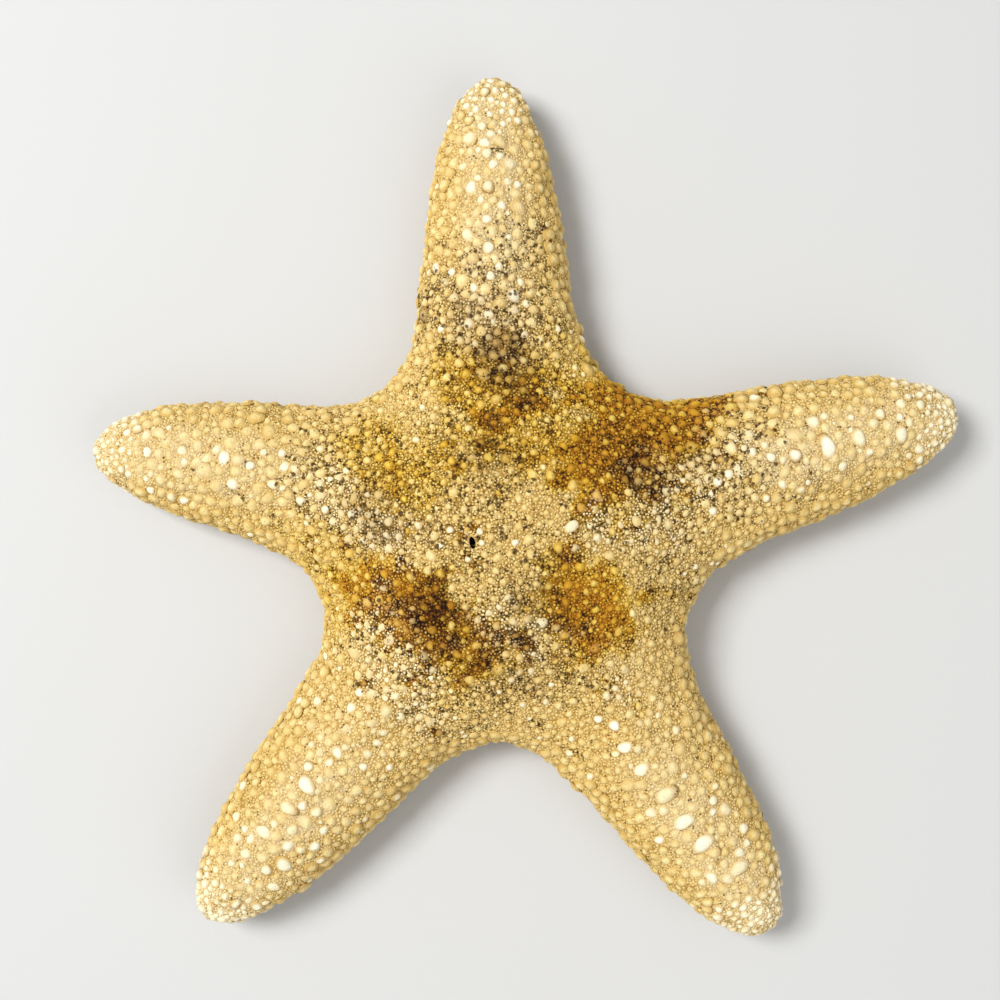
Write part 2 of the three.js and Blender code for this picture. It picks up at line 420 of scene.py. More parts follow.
# Many caps as one mesh. Each is the template stretched, made a little uneven and set on its seat.
# The layer crown runs from 0 at the skin to 1 at the top.
def setCaps(name, template, seats, height, layers, lead=None, stretch=1.0, uneven=0.1):
    place, normal, radius = seats
    verts, blocks = template
    count = len(place)
    lead = rng.normal(size=(count, 3)) if lead is None else lead
    first = unitRows(lead - normal * (lead * normal).sum(1, keepdims=True))
    second = np.cross(normal, first)
    angle = np.arctan2(verts[:, 1], verts[:, 0])
    phase = rng.uniform(0, 2 * np.pi, (count, 3, 1))
    rim = 1 + uneven * sum(np.sin(angle * (k + 1) + phase[:, k]) for k in range(3)) / 2
    size = np.stack([radius * stretch, radius, np.broadcast_to(height, count)], 1)
    local = verts[None] * size[:, None]
    local[:, :, :2] *= rim[:, :, None]
    local[:, :, :2] += rng.normal(0, uneven, (count, 1, 2)) * local[:, :, 2:]
    world = place[:, None] + local[:, :, :1] * first[:, None]
    world += local[:, :, 1:2] * second[:, None] + local[:, :, 2:] * normal[:, None]
    world[:, :, 2] = np.maximum(world[:, :, 2], 0.08)
    offset = (np.arange(count) * len(verts))[:, None, None]
    faces = [(block[None] + offset).reshape(-1, block.shape[1]) for block in blocks]
    made = {"crown": np.tile(np.clip(verts[:, 2], 0, 1), count)}
    for layer, values in layers.items():
        made[layer] = np.repeat(values, len(verts))
    print(name + ":", count)
    return makeMesh(name, world.reshape(-1, 3) + toFrame, faces, made)


# Weathering on the back. A streak has two ends in mm in the part's frame, a radius and a strength.
streaks = {
    "amber": [
        ((13, -22), (15, -24), 12.5, 0.92), ((17, 9), (34, 19), 13, 0.88), ((-34, 13), (-32, 6), 12, 0.42),
        ((-32, -18), (-27, -21), 10.5, 1.0), ((-14, -34), (-11, -32), 9, 0.5),
        ((-14, 28), (-1, 25), 9.5, 0.5), ((-2, 15), (14, 12), 11, 0.45), ((20, 24), (32, 25), 10, 0.6),
        ((-22, -26), (-12, -29), 9, 0.65), ((-46, -10), (-42, -22), 14, 0.25),
        ((10, 34), (14, 26), 10, 0.3), ((-24, 4), (-20, 10), 9, 0.3),
    ],
    "soot": [
        ((-6, 35), (-4, 29), 6.5, 0.8), ((-10, 41), (-7, 35), 11, 0.2), ((24.5, 8), (25, 7), 5.5, 1.0),
        ((28, 10), (37, 13), 8, 0.25), ((-22, -22), (-21, -22), 7, 0.7), ((-20, -26), (-12, -30), 7, 0.5),
        ((-9, 11), (-5, 10), 5.5, 0.4), ((-34, 0), (-32, -4), 8, 0.35), ((2, -20), (5, -23), 7, 0.35),
        ((-4, -36), (2, -34), 8, 0.15), ((22, 17), (30, 21), 10, 0.1),
    ],
    "chalk": [
        ((-44, 4), (-28, -7), 8, 0.85), ((-6, -25), (2, -30), 8, 0.65), ((-33, -30), (-26, -40), 10, 0.7),
        ((17, -5), (22, -6), 6, 0.5), ((27, 5), (31, -6), 8, 0.6), ((-10, 44), (-6, 38), 9, 0.55),
        ((22, -36), (28, -44), 8, 0.25), ((38, 6), (48, 12), 8, 0.5), ((-40, -50), (-56, -84), 13, 0.25),
    ],
    "pepper": [
        ((-8, 44), (-4, 26), 20, 1.0), ((-38, 8), (-30, 2), 18, 0.9), ((26, 10), (42, 12), 18, 0.85),
        ((-24, -24), (-6, -34), 16, 0.8), ((2, -26), (10, -34), 14, 0.6), ((-10, 12), (8, 16), 15, 0.6),
        ((-34, 10), (-40, -6), 14, 0.4), ((-30, -30), (-14, -40), 14, 0.45),
        ((20, -24), (30, -20), 12, 0.25), ((-14, 0), (2, -16), 15, 0.45), ((14, 2), (30, -8), 13, 0.5),
    ],
}
# Bleach along the ridges and on the tips, each from a share of the reach and growing over another. The
# paleness along the ridges is partly real bleaching and partly painted highlight on the arms' crests; on the
# tips it is real bleaching.
bleachAndSheen = {
    "ridge": 0.28, "ridgeFrom": 0.42, "ridgeOver": 0.2, "ridgeWidth": 9, "tipFrom": 0.85, "tipOver": 0.13,
}
wander = {"far": Ripples(26), "near": Ripples(7), "fine": Ripples(2.6)}


# Strength of a kind of streak: 1 less the product of what each streak leaves over, edges wandering
def streakMask(kind, place, blotchy):
    flat = place[:, :2] + toFrame[:2]
    stray = 0.22 * wander["far"](place) + 0.3 * wander["near"](place) + 0.16 * wander["fine"](place)
    left = np.ones(len(place))
    for start, end, reach, strength in kind:
        start, end = np.array(start, float), np.array(end, float)
        run = end - start
        share = np.clip((flat - start) @ run / max(run @ run, 1e-6), 0, 1)
        gap = np.linalg.norm(flat - start - share[:, None] * run, axis=1) / reach
        left *= 1 - strength * smooth(1.25 - gap * (1 + stray))
    blotch = 0.45 * wander["near"](place + 40) + 0.4 * wander["fine"](place + 40)
    return np.clip((1 - left) * (1.15 + blotchy * blotch), 0, 1)


# Share along the nearest arm, mm from its midline, and which arm it is
def nearestArm(place):
    along, across = inArms(place[:, 0], place[:, 1])
    turn = np.arctan2(place[:, 1], place[:, 0])
    arm = np.cos(turn[None] - arms["heading"][:, None]).argmax(0)
    pick = (arm, np.arange(len(place)))
    return along[pick], across[pick], arm


# All the weathering layers: streaks on the back, bleach along the ridges, there partly painted highlight on
# the crests, and, by paling, on the tips
def weather(place, paling=1.0):
    along, across, arm = nearestArm(place)
    upper = smooth((place[:, 2] - 6) / 6)
    # Ridge paleness: partly real bleaching, partly painted highlight on the arms' crests.
    ridge = smooth(1.3 - np.abs(across) / bleachAndSheen["ridgeWidth"])
    ridge = ridge * smooth((along - bleachAndSheen["ridgeFrom"]) / bleachAndSheen["ridgeOver"]) * bleachAndSheen["ridge"]
    stray = 0.02 * wander["near"](place)
    tip = smooth((along + stray - bleachAndSheen["tipFrom"]) / bleachAndSheen["tipOver"]) * arms["tipPale"][arm]
    made = {k: streakMask(streaks[k], place, 0.5 if k == "amber" else 1) * upper for k in streaks}
    made["bleachAndSheen"] = np.maximum(ridge * upper, tip * paling)
    return made


# Bosses: the large knobs, arm by arm, as share of the reach, mm left of the midline, radius, whiteness
bosses = [
    [
        (0.48, 1.7, 1.3, 0.7), (0.62, 1.2, 1.4, 0.8), (0.68, 1.4, 1.2, 0.8), (0.75, 0.8, 1.3, 0.5),
        (0.56, 1.0, 1.2, 0.7), (0.82, 1, 1.3, 0.5), (0.88, 2, 1.2, 0.6),
    ],
    [
        (0.42, 4.9, 1.1, 0.8), (0.48, 4.5, 1.2, 0.8), (0.55, 2.2, 1.3, 0.8), (0.61, -0.9, 1.2, 0.9),
        (0.67, -1.6, 1.5, 0.9), (0.77, -1.6, 1.3, 0.5), (0.85, 0, 1.4, 0.8), (0.36, 4.5, 1.0, 0.7),
    ],
    [
        (0.63, -2.5, 1.8, 0.9), (0.6, -4.7, 1.2, 0.8), (0.69, -2.2, 1.5, 0.4), (0.76, -3, 1.7, 0.6),
        (0.79, 5.6, 1.6, 0.8), (0.84, 6.9, 1.5, 0.7), (0.82, 3.2, 1.3, 0.7), (0.78, -9.8, 1.3, 0.5),
        (0.82, -2.9, 1.4, 0.5), (0.53, 4.9, 1.1, 0.8), (0.66, 3.3, 1.3, 0.5), (0.72, 1.8, 1.4, 0.3),
    ],
    [
        (0.4, -4.6, 1.1, 0.9), (0.43, -2.4, 1.4, 1.0), (0.48, -3.2, 1.5, 0.9), (0.54, -3, 1.6, 0.8),
        (0.68, -1.6, 1.9, 0.9), (0.74, -0.8, 2.0, 0.9), (0.77, 8.5, 1.4, 0.7), (0.83, 2.5, 1.8, 0.4),
        (0.61, -1.8, 1.9, 0.3), (0.68, 6.5, 1.2, 0.8),
    ],
    [
        (0.45, -0.9, 1.1, 0.9), (0.57, 1, 1.2, 0.8), (0.62, 0, 1.4, 0.9), (0.69, -0.3, 2.0, 1.0),
        (0.76, -0.4, 1.6, 0.6), (0.85, -2, 1.5, 0.7), (0.82, 3.6, 1.3, 0.6), (0.87, 4.6, 1.4, 0.5),
        (0.71, -5.4, 1.4, 0.6), (0.63, -6.5, 1.2, 0.8), (0.54, -7.6, 1.0, 0.7), (0.91, 3.3, 1.3, 0.6),
    ],
]
# Knobs on the disc: distance from its centre, heading, radius, whiteness. The first five have collars.
discKnobs = [
    (20, 101, 1.4, 0.4), (14.6, 19, 1.5, 0.55), (17.7, 292, 1.4, 0.85), (25, 226, 1.3, 0.6),
    (26.7, 168, 1.2, 0.3), (7.0, 151, 0.9, 0.7), (5.9, 171, 0.75, 0.7), (9.3, 196, 0.8, 0.5),
    (13.2, 163, 0.85, 0.7),
]
collar = {"knobs": 5, "grains": 11, "radius": 0.36, "height": 0.36, "white": 0.55}
# Every knob's foot as a share of its radius, its height, and how far the largest are stretched
knob = {"foot": 0.88, "height": 0.7, "stretch": 0.35, "stretchedFrom": 1.45, "uneven": 0.12}


# Places, normals, radii, whiteness and long axes of all the listed knobs
def bossSeats():
    found = []
    for arm, listed in enumerate(bosses):
        share, left, radius, white = np.array(listed).T
        sideways = np.tile([*leftward[arm], 0], (len(radius), 1))
        found.append([*seatsOnArm(arm, share, left), radius, white, sideways])
    distance, heading, radius, white = np.array(discKnobs).T
    heading = np.radians(heading) - arms["heading"][0]
    seats = seatsOnArm(0, distance * np.cos(heading) / arms["reach"][0], distance * np.sin(heading))
    found.append([*seats, radius, white, rng.normal(size=(len(radius), 3))])
    return [np.concatenate(column) for column in zip(*found)]


# A ring of grains round each of the disc's chief knobs, just outside its foot
def collarSeats(knobs):
    place, normal, radius = knobs
    angle = np.arange(collar["grains"]) * 2 * np.pi / collar["grains"] + rng.uniform(0, 1, (len(place), 1))
    away = radius[:, None] * 0.95 + collar["radius"]
    x = (place[:, :1] + away * np.cos(angle)).ravel()
    y = (place[:, 1:2] + away * np.sin(angle)).ravel()
    z = backHeight(x, y) - skin["sunk"]
    return np.stack([x, y, z], 1), np.repeat(normal, collar["grains"], 0), np.full(len(x), collar["radius"])


# Tubercles: low round warts, scattered and in rows along the margin. A row is a distance up and a radius.
tubercle = {
    "tries": 60000, "disc": 0.7, "arm": 1.06, "spread": 0.22, "range": (0.55, 1.45),
    "discSpacing": 1.7, "armSpacing": 1.16,
    "rowPitch": 2.75, "rows": [(-4.6, 1.0), (-1.9, 1.12), (0.7, 1.22), (3.2, 1.2), (5.7, 1.15), (8.2, 1.1)],
    "small": (0.42, 0.66), "smallTries": 22000, "smallSpacing": 1.45,
    "height": 0.6, "uneven": 0.16, "white": 0.09, "tipShrink": 0.35, "rowSpacing": 1.05, "lap": 0.95,
}
# Grains: the gritty bed between the tubercles, parted by share of the reach into three pieces
grain = {
    "tries": 300000, "spacing": 0.94, "radius": (0.22, 0.4), "height": 0.17, "uneven": 0.2,
    "parts": (0.34, 0.62),
}


# Share of their size that tubercles keep: 1 less tipShrink times a smoothstep towards the tips
def tipShrink(along):
    return 1 - tubercle["tipShrink"] * smooth((along - 0.82) / 0.12)


# Rows of tubercles along the margin, every second row half a pitch on, with a little straying
def marginSeats():
    rows = []
    for i, (up, size) in enumerate(tubercle["rows"]):
        place, normal = seatsInRow(up, tubercle["rowPitch"], i % 2 / 2)
        rows.append((place, normal, np.full(len(place), size)))
    place, normal, radius = joined(*rows)
    radius = radius * rng.normal(1, 0.1, len(radius)) * tipShrink(nearestArm(place)[0])
    strayed = place + rng.normal(0, 0.18, place.shape)
    return strayed, normal, radius


# Scattered tubercles: small and far apart on the disc, larger and closer along the arms
def tubercleSeats(taken):
    place, normal = seatsOn(tubercle["tries"], (0, skin["backBands"]))
    along = nearestArm(place)[0]
    base = tubercle["disc"] + (tubercle["arm"] - tubercle["disc"]) * smooth((along - 0.28) / 0.37)
    radius = base * np.exp(rng.normal(0, tubercle["spread"], len(place)))
    radius = np.clip(radius, *tubercle["range"]) * tipShrink(along)
    share = smooth((along - 0.2) / 0.3)
    spacing = tubercle["discSpacing"] + (tubercle["armSpacing"] - tubercle["discSpacing"]) * share
    return settle((place, normal, radius), radius * spacing, taken)


# Small tubercles wherever the larger ones leave room, fewest on the disc
def smallSeats(taken):
    place, normal = seatsOn(tubercle["smallTries"], (0, skin["backBands"] + 4))
    sparse = rng.random(len(place)) < 0.3 + 0.7 * smooth((nearestArm(place)[0] - 0.25) / 0.2)
    place, normal = place[sparse], normal[sparse]
    radius = rng.uniform(*tubercle["small"], len(place))
    return settle((place, normal, radius), radius, taken, tubercle["smallSpacing"])


# Grains between two rows of the skin, as many as fit round what is taken
def grainSeats(tries, sizes, rows, taken):
    place, normal = seatsOn(tries, rows)
    radius = rng.uniform(*sizes, len(place))
    return settle((place, normal, radius), radius, taken, grain["spacing"])


# Height of low mounds round the seats: the largest of rise · radius · exp(−(gap / spread radius)²)
def moundHeight(points, seats, spread=1.3, rise=0.2):
    place, radius = seats[0].astype(np.float32), seats[2].astype(np.float32)
    total = np.zeros(len(points), np.float32)
    for part in np.array_split(np.arange(len(points)), 60):
        gap = ((points[part, None].astype(np.float32) - place[None]) ** 2).sum(2)
        total[part] = (rise * radius * np.exp(-gap / (spread * radius) ** 2)).max(1)
    return total


# Whiteness of each tubercle: mostly none, with a chance that grows to the arm ridges and the tips
def whiteness(place):
    along, across, _ = nearestArm(place)
    chance = tubercle["white"] * (0.5 + 2.2 * smooth(1.3 - np.abs(across) / 8) * smooth((along - 0.2) / 0.3))
    chance = chance + 0.75 * smooth((along - 0.84) / 0.1)
    return (rng.random(len(place)) < chance) * rng.uniform(0.35, 0.95, len(place))


bossPlace, bossNormal, bossRadius, bossWhite, bossLead = bossSeats()
bossed = (bossPlace, bossNormal, bossRadius)
collars = collarSeats([a[-len(discKnobs):][:collar["knobs"]] for a in bossed])
poreTop = backHeight(np.array([pore["x"]]), np.array([pore["y"]]))[0] - skin["sunk"]
poreMiddle = np.array([pore["x"], pore["y"], poreTop])
taken = circles(bossPlace, bossRadius) + circles(collars[0], collars[2]) + [(poreMiddle, pore["clear"])]
margined = marginSeats()
margined = settle(margined, margined[2], taken, tubercle["rowSpacing"])
taken += circles(margined[0], margined[2])
scattered = tubercleSeats(taken)
taken += circles(scattered[0], scattered[2])
small = smallSeats(taken)
taken += circles(small[0], small[2] * tubercle["lap"])
print("seats chosen for", len(taken), "knobs")

lift = moundHeight(skinVerts, joined(bossed, margined, scattered))
skinVerts += skinNormals * (lift * smooth((skin["backBands"] + 8 - skinRow) / 8))[:, None]
reach = np.where(skinRow < skin["backBands"], poreReach(skinVerts[:, 0], skinVerts[:, 1]), 9)
pit = smooth((1.9 - reach) / 0.8)
skinVerts[:, 2] -= pore["depth"] * pit
skinVerts[:, 2] = np.maximum(skinVerts[:, 2], 0.5)
skinNormals = vertexNormals(skinVerts, skinQuads)
# The pore's pit carries a painted-shade layer that darkens it to near black.
skinPiece = makeMesh("skin", skinVerts + toFrame, [skinQuads], {
    "belly": smooth((skinRow - skin["backBands"]) / 8), "pitShade": smooth((1.3 - reach) / 0.3),
    "crown": np.zeros(len(skinVerts)),
    **weather(skinVerts, 0.4),
})
print("skin laid:", len(skinQuads) * 2, "triangles")


# The pore's lip: a ring that covers the pit's edge, with the wall going down inside it
def makePore():
    rings, segments = pore["profile"], pore["segments"]
    angle = np.arange(segments) * 2 * np.pi / segments
    verts = []
    for reach, height in rings:
        x, y = porePlan(reach, angle)
        ground = backHeight(x, y) - skin["sunk"] if reach > 1 else np.full(segments, poreTop)
        verts.append(np.stack([x, y, ground + height], 1))
    verts = np.concatenate(verts)
    # Painted shade: the wall going down inside the lip is darkened to near black by this layer.
    depth = np.repeat([smooth((1.02 - reach) / 0.1) for reach, _ in rings], segments)
    floor = (np.arange(segments) + (len(rings) - 1) * segments)[None]
    return makeMesh("pore_lip", verts + toFrame, [bandQuads(len(rings), segments), floor], {
        "belly": np.zeros(len(verts)), "pitShade": depth, "crown": np.zeros(len(verts)),
    })


porePiece = makePore()
softCap = turnedCap([(1.6, -0.35), (1.2, 0.1), (0.86, 0.5), (0.48, 0.87), (0, 1)], 9)
bossCap = turnedCap([(1.4, -0.4), (1.12, 0.1), (0.9, 0.48), (0.66, 0.78), (0.36, 0.95), (0, 1)], 14)
grainCap = turnedCap([(1.25, -0.6), (0.8, 0.55), (0, 1)], 5)


# Each granule has its own tone and takes the weathering of its seat, some more and some less
def capLayers(seats, white):
    worn = weather(seats[0])
    take = rng.uniform(0.6, 1.3, (len(worn), len(seats[0])))
    worn = {name: np.clip(worn[name] * share, 0, 1) for name, share in zip(worn, take)}
    chalky = worn.pop("chalk") * rng.uniform(0.2, 1, len(seats[0]))
    worn["bleachAndSheen"] = np.maximum(worn["bleachAndSheen"], chalky)
    worn["amber"] = worn["amber"] * (1 - 0.7 * chalky)
    return {"tone": rng.random(len(seats[0])), "white": white, **worn}


bossPiece = setCaps(
    "bosses", bossCap, [bossPlace, bossNormal, bossRadius * knob["foot"]],
    knob["height"] * bossRadius ** 0.5, capLayers(bossed, bossWhite), bossLead,
    1 + knob["stretch"] * (bossRadius > knob["stretchedFrom"]), knob["uneven"],
)
knobPieces = [
    setCaps(
        name, softCap, seats, tubercle["height"] * seats[2] ** 0.6, capLayers(seats, whiteness(seats[0])),
        None, rng.uniform(0.9, 1.2, len(seats[0])), tubercle["uneven"],
    )
    for name, seats in (("margin_tubercles", margined), ("tubercles", scattered), ("small_tubercles", small))
]
lip = poreSeats()
taken += circles(lip[0], lip[2])
back = joined(lip, grainSeats(grain["tries"], grain["radius"], (0, skin["backBands"] + 2), taken))
zone = np.digitize(nearestArm(back[0])[0], grain["parts"])
grainPieces = []
for i, name in enumerate(("disc_grains", "arm_grains", "tip_grains")):
    seats = [a[zone == i] for a in back]
    worn = capLayers(seats, np.zeros(len(seats[0])))
    grainPieces.append(setCaps(name, grainCap, seats, grain["height"], worn, None, 1.0, grain["uneven"]))
collarWhite = np.full(len(collars[0]), collar["white"])
collarPiece = setCaps("collars", grainCap, collars, collar["height"], capLayers(collars, collarWhite))

# Underside: spines folded over the furrows from both sides, a stubbier row outside them, and granules
furrow = {
    "from": 0.07, "to": 0.93, "stray": 0.0012, "forward": 0.25, "tousle": 0.13,
    "inner": {
        "pitch": 1.2, "gap": 0.1, "lean": 1.0, "drop": -0.1, "radius": 0.42, "room": 0.5, "uneven": 0.04,
    },
    "outer": {
        "pitch": 1.7, "gap": 1.5, "lean": 0.9, "drop": -0.35, "radius": 0.6, "room": 0.6, "uneven": 0.06,
    },
    "jaw": {"spines": 5, "spread": 0.24, "reach": 6.1, "radius": 0.42, "room": 0.5, "uneven": 0.06},
    "innerLength": 2.5, "shortening": 0.45, "outerLength": 1.3, "jawLength": 2.9,
    "grainTries": 60000, "grainRadius": (0.42, 0.66), "grainHeight": 0.42, "grainWhite": 0.1,
}


# Spines in a row on both sides of each groove, a gap outside its lip, leaning in across it
def spineSeats(row):
    place, aim = [], []
    for arm in range(armCount):
        for side in (-1, 1):
            share = np.arange(furrow["from"], furrow["to"], row["pitch"] / arms["reach"][arm])
            share = share + rng.normal(0, furrow["stray"], len(share))
            off = side * (groove["halfWidth"] * (1 - groove["narrowing"] * share) + row["gap"])
            plan = armPlan(arm, share, off)
            height = bellyHeight(plan[:, 0], plan[:, 1])
            place.append(np.concatenate([plan, height[:, None]], 1))
            across = -side * leftward[arm] * row["lean"]
            way = np.append(across + ahead[arm] * furrow["forward"], row["drop"])
            aim.append(way + rng.normal(0, furrow["tousle"], (len(share), 3)))
    return np.concatenate(place), unitRows(np.concatenate(aim))


# Mouth spines: a fan on each jaw between two furrows, pointing in over the mouth
def mouthSeats():
    jaws = arms["heading"] + np.diff(np.append(arms["heading"], arms["heading"][0] + 2 * np.pi)) / 2
    turn = jaws[:, None] + np.linspace(-1, 1, furrow["jaw"]["spines"]) * furrow["jaw"]["spread"]
    flat = np.stack([np.cos(turn), np.sin(turn)], 2).reshape(-1, 2)
    plan = flat * furrow["jaw"]["reach"]
    height = bellyHeight(plan[:, 0], plan[:, 1])
    aim = np.concatenate([-flat, np.full((len(flat), 1), 0.1)], 1) + rng.normal(0, 0.1, (len(flat), 3))
    return np.concatenate([plan, height[:, None]], 1), unitRows(aim)


spineCap = turnedCap([(0.8, -0.1), (1.0, 0.12), (0.95, 0.6), (0.7, 0.88), (0, 1)], 6)


# One piece of spines on its seats, each with its own tone; they take the room of the belly's granules
def setSpines(name, seats, row, length):
    place, aim = seats
    taken.extend(circles(place, np.full(len(place), row["room"])))
    layers = {"tone": rng.random(len(place))}
    seats = (place, aim, np.full(len(place), row["radius"]))
    return setCaps(name, spineCap, seats, length, layers, None, 1.0, row["uneven"])


innerSeats = spineSeats(furrow["inner"])
innerLength = furrow["innerLength"] * (1 - furrow["shortening"] * nearestArm(innerSeats[0])[0])
spinePieces = [
    setSpines("furrow_spines", innerSeats, furrow["inner"], innerLength),
    setSpines("outer_spines", spineSeats(furrow["outer"]), furrow["outer"], furrow["outerLength"]),
    setSpines("mouth_spines", mouthSeats(), furrow["jaw"], furrow["jawLength"]),
]
belly = grainSeats(
    furrow["grainTries"], furrow["grainRadius"],
    (skin["backBands"] + 2, skin["backBands"] + skin["bellyBands"]), taken,
)
bellyPiece = setCaps(
    "belly_granules", grainCap, belly, furrow["grainHeight"],
    capLayers(belly, np.full(len(belly[0]), furrow["grainWhite"])),
)


# Linear colour from a hex code: c/12.92 when dark, else ((c + 0.055)/1.055) to the 2.4
def linear(code):
    c = np.array([int(code[i:i + 2], 16) for i in (1, 3, 5)]) / 255
    return tuple(np.where(c <= 0.04045, c / 12.92, ((c + 0.055) / 1.055) ** 2.4)) + (1.0,)


palette = {
    # The gap colour is painted shade in the crevices between the skin's fine granules.
    "gap": linear("#a8823c"), "bed": linear("#d0ae66"), "bedPale": linear("#e4cb88"),
    # The grain and wart foot colours on these two lines are painted shade at the feet of the granules.
    "grainFootShade": linear("#cfae66"), "grain": linear("#e0c680"), "grainPale": linear("#ecd99e"),
    "wartFootShade": linear("#caa65b"), "wart": linear("#e3c782"), "wartPale": linear("#f1dd9f"),
    # The bleach colour is real bleaching on the tips and, along the ridges, partly painted highlight.
    "white": linear("#fdf6dc"), "bleachAndSheen": linear("#f3e7c4"),
    "belly": linear("#dcc596"), "furrow": linear("#7c5a30"), "spine": linear("#e6d4a6"),
    "yellowTint": (1.0, 0.9, 0.14, 1), "brownTint": (0.63, 0.42, 0.45, 1),
    # The pit colour is painted shade, near black, for the pore's pit.
    "stainTint": (0.62, 0.5, 0.3, 1), "sootTint": (0.09, 0.055, 0.02, 1), "pit": (0.004, 0.003, 0.002, 1),
}
# Cells or waves to the metre in each texture, and how far the flecks are bent, in metres
texture = {
    "plates": 1700.0, "cloud": 320.0, "mottle": 1500.0, "stain": 420.0,
    "pinpricks": 1900.0, "flecks": 1000.0, "bend": 900.0, "bendDepth": 0.0009,
}


# New node with its settings, its inputs given as values or as sockets to link from
def addNode(tree, kind, inputs=None, **settings):
    node = tree.nodes.new("ShaderNode" + kind)
    for key, value in settings.items():
        setattr(node, key, value)
    for key, value in (inputs or {}).items():
        if isinstance(value, bpy.types.NodeSocket):
            tree.links.new(value, node.inputs[key])
        else:
            node.inputs[key].default_value = value
    return node


# Output of a math node
def calc(tree, operation, a, b=0.0, clamp=False, c=0.0):
    return addNode(tree, "Math", {0: a, 1: b, 2: c}, operation=operation, use_clamp=clamp).outputs[0]


# Product of two values
def times(tree, a, b, clamp=False):
    return calc(tree, "MULTIPLY", a, b, clamp)


# Colour a mixed towards b, or multiplied by it, by the factor
def blend(tree, factor, a, b, kind="MIX"):
    return addNode(tree, "Mix", {0: factor, 6: a, 7: b}, data_type="RGBA", blend_type=kind).outputs[2]


# A mesh layer as a value
def layer(tree, name):
    return addNode(tree, "Attribute", attribute_name=name).outputs["Fac"]


# Rise from 0 to 1 as the value goes from low to high
def ramp(tree, value, low, high):
    given = {"Value": value, "From Min": low, "From Max": high}
    return addNode(tree, "MapRange", given, interpolation_type="SMOOTHSTEP").outputs[0]


# Noise of one of the named scales
def noise(tree, vector, scale, detail):
    given = {"Vector": vector, "Scale": texture[scale], "Detail": detail}
    return addNode(tree, "TexNoise", given).outputs[0]


# Empty node group with named sockets, and its inner ends
def newGroup(name, inputs, outputs):
    tree = bpy.data.node_groups.new(name, "ShaderNodeTree")
    for label, kind in inputs:
        tree.interface.new_socket(name=label, in_out="INPUT", socket_type="NodeSocket" + kind)
    for label, kind in outputs:
        tree.interface.new_socket(name=label, in_out="OUTPUT", socket_type="NodeSocket" + kind)
    return tree, tree.nodes.new("NodeGroupInput").outputs, tree.nodes.new("NodeGroupOutput").inputs


# Dark pinpricks: a cell whose random number is under Density gets a dot of about Size
def pinprickGroup():
    tree, given, out = newGroup(
        "pinpricks", [("Vector", "Vector"), ("Scale", "Float"), ("Density", "Float"), ("Size", "Float")],
        [("Mask", "Float")],
    )
    cells = addNode(tree, "TexVoronoi", {"Vector": given["Vector"], "Scale": given["Scale"]})
    chance = addNode(tree, "SeparateColor", {0: cells.outputs["Color"]})
    chosen = calc(tree, "LESS_THAN", chance.outputs[0], given["Density"])
    size = times(tree, given["Size"], calc(tree, "ADD", chance.outputs[1], 0.5))
    dot = ramp(tree, cells.outputs["Distance"], size, times(tree, size, 0.4))
    tree.links.new(times(tree, dot, chosen), out["Mask"])
    return tree


# Weathering over a colour: amber yellows and then browns it, bleach, partly painted highlight along the arm
# ridges, pales it, soot stains it and blackens it off the crowns, and pinpricks and bent flecks go on last
def weatheredGroup(pinpricks):
    tree, given, out = newGroup(
        "weathered", [("Color", "Color"), ("Vector", "Vector"), ("Cling", "Float"), ("Dots", "Float")],
        [("Color", "Color")],
    )
    low = calc(tree, "SUBTRACT", 1.0, times(tree, layer(tree, "crown"), given["Cling"]))
    mottle = ramp(tree, noise(tree, given["Vector"], "stain", 4.0), 0.25, 0.7)
    amber = times(tree, layer(tree, "amber"), calc(tree, "MULTIPLY_ADD", low, 0.3, c=0.7))
    colour = blend(tree, ramp(tree, amber, 0.0, 0.75), given["Color"], palette["yellowTint"], "MULTIPLY")
    colour = blend(tree, ramp(tree, amber, 0.25, 1.0), colour, palette["brownTint"], "MULTIPLY")
    bleachAndSheen = times(tree, layer(tree, "bleachAndSheen"), calc(tree, "ADD", mottle, 0.2), True)
    colour = blend(tree, bleachAndSheen, colour, palette["bleachAndSheen"])
    soot = layer(tree, "soot")
    colour = blend(tree, soot, colour, palette["stainTint"], "MULTIPLY")
    black = times(tree, times(tree, soot, low), mottle)
    colour = blend(tree, black, colour, palette["sootTint"], "MULTIPLY")
    density = times(tree, calc(tree, "ADD", layer(tree, "pepper"), 0.1), given["Dots"])
    density = times(tree, density, low)
    dots = addNode(tree, "Group", {
        "Vector": given["Vector"], "Scale": texture["pinpricks"], "Density": density, "Size": 0.5,
    }, node_tree=pinpricks).outputs[0]
    ripple = addNode(tree, "TexNoise", {"Vector": given["Vector"], "Scale": texture["bend"]})
    bent = addNode(tree, "VectorMath", {
        0: ripple.outputs["Color"], 1: (texture["bendDepth"],) * 3, 2: given["Vector"],
    }, operation="MULTIPLY_ADD").outputs[0]
    density = calc(tree, "POWER", layer(tree, "pepper"), 1.5)
    density = times(tree, density, times(tree, low, 0.6))
    flecks = addNode(tree, "Group", {
        "Vector": bent, "Scale": texture["flecks"], "Density": density, "Size": 0.6,
    }, node_tree=pinpricks).outputs[0]
    marks = times(tree, calc(tree, "MAXIMUM", dots, flecks), 0.9)
    colour = blend(tree, marks, colour, palette["sootTint"], "MULTIPLY")
    tree.links.new(colour, out["Color"])
    return tree


# Matte material with its tree, its shader and the object coordinates
def newMaterial(name, roughness):
    material = bpy.data.materials.new(name)
    material.use_nodes = True
    tree = material.node_tree
    shader = tree.nodes["Principled BSDF"]
    shader.inputs["Roughness"].default_value = roughness
    shader.inputs["Specular IOR Level"].default_value = 0.18
    place = tree.nodes.new("ShaderNodeTexCoord").outputs["Object"]
    return material, tree, shader, place


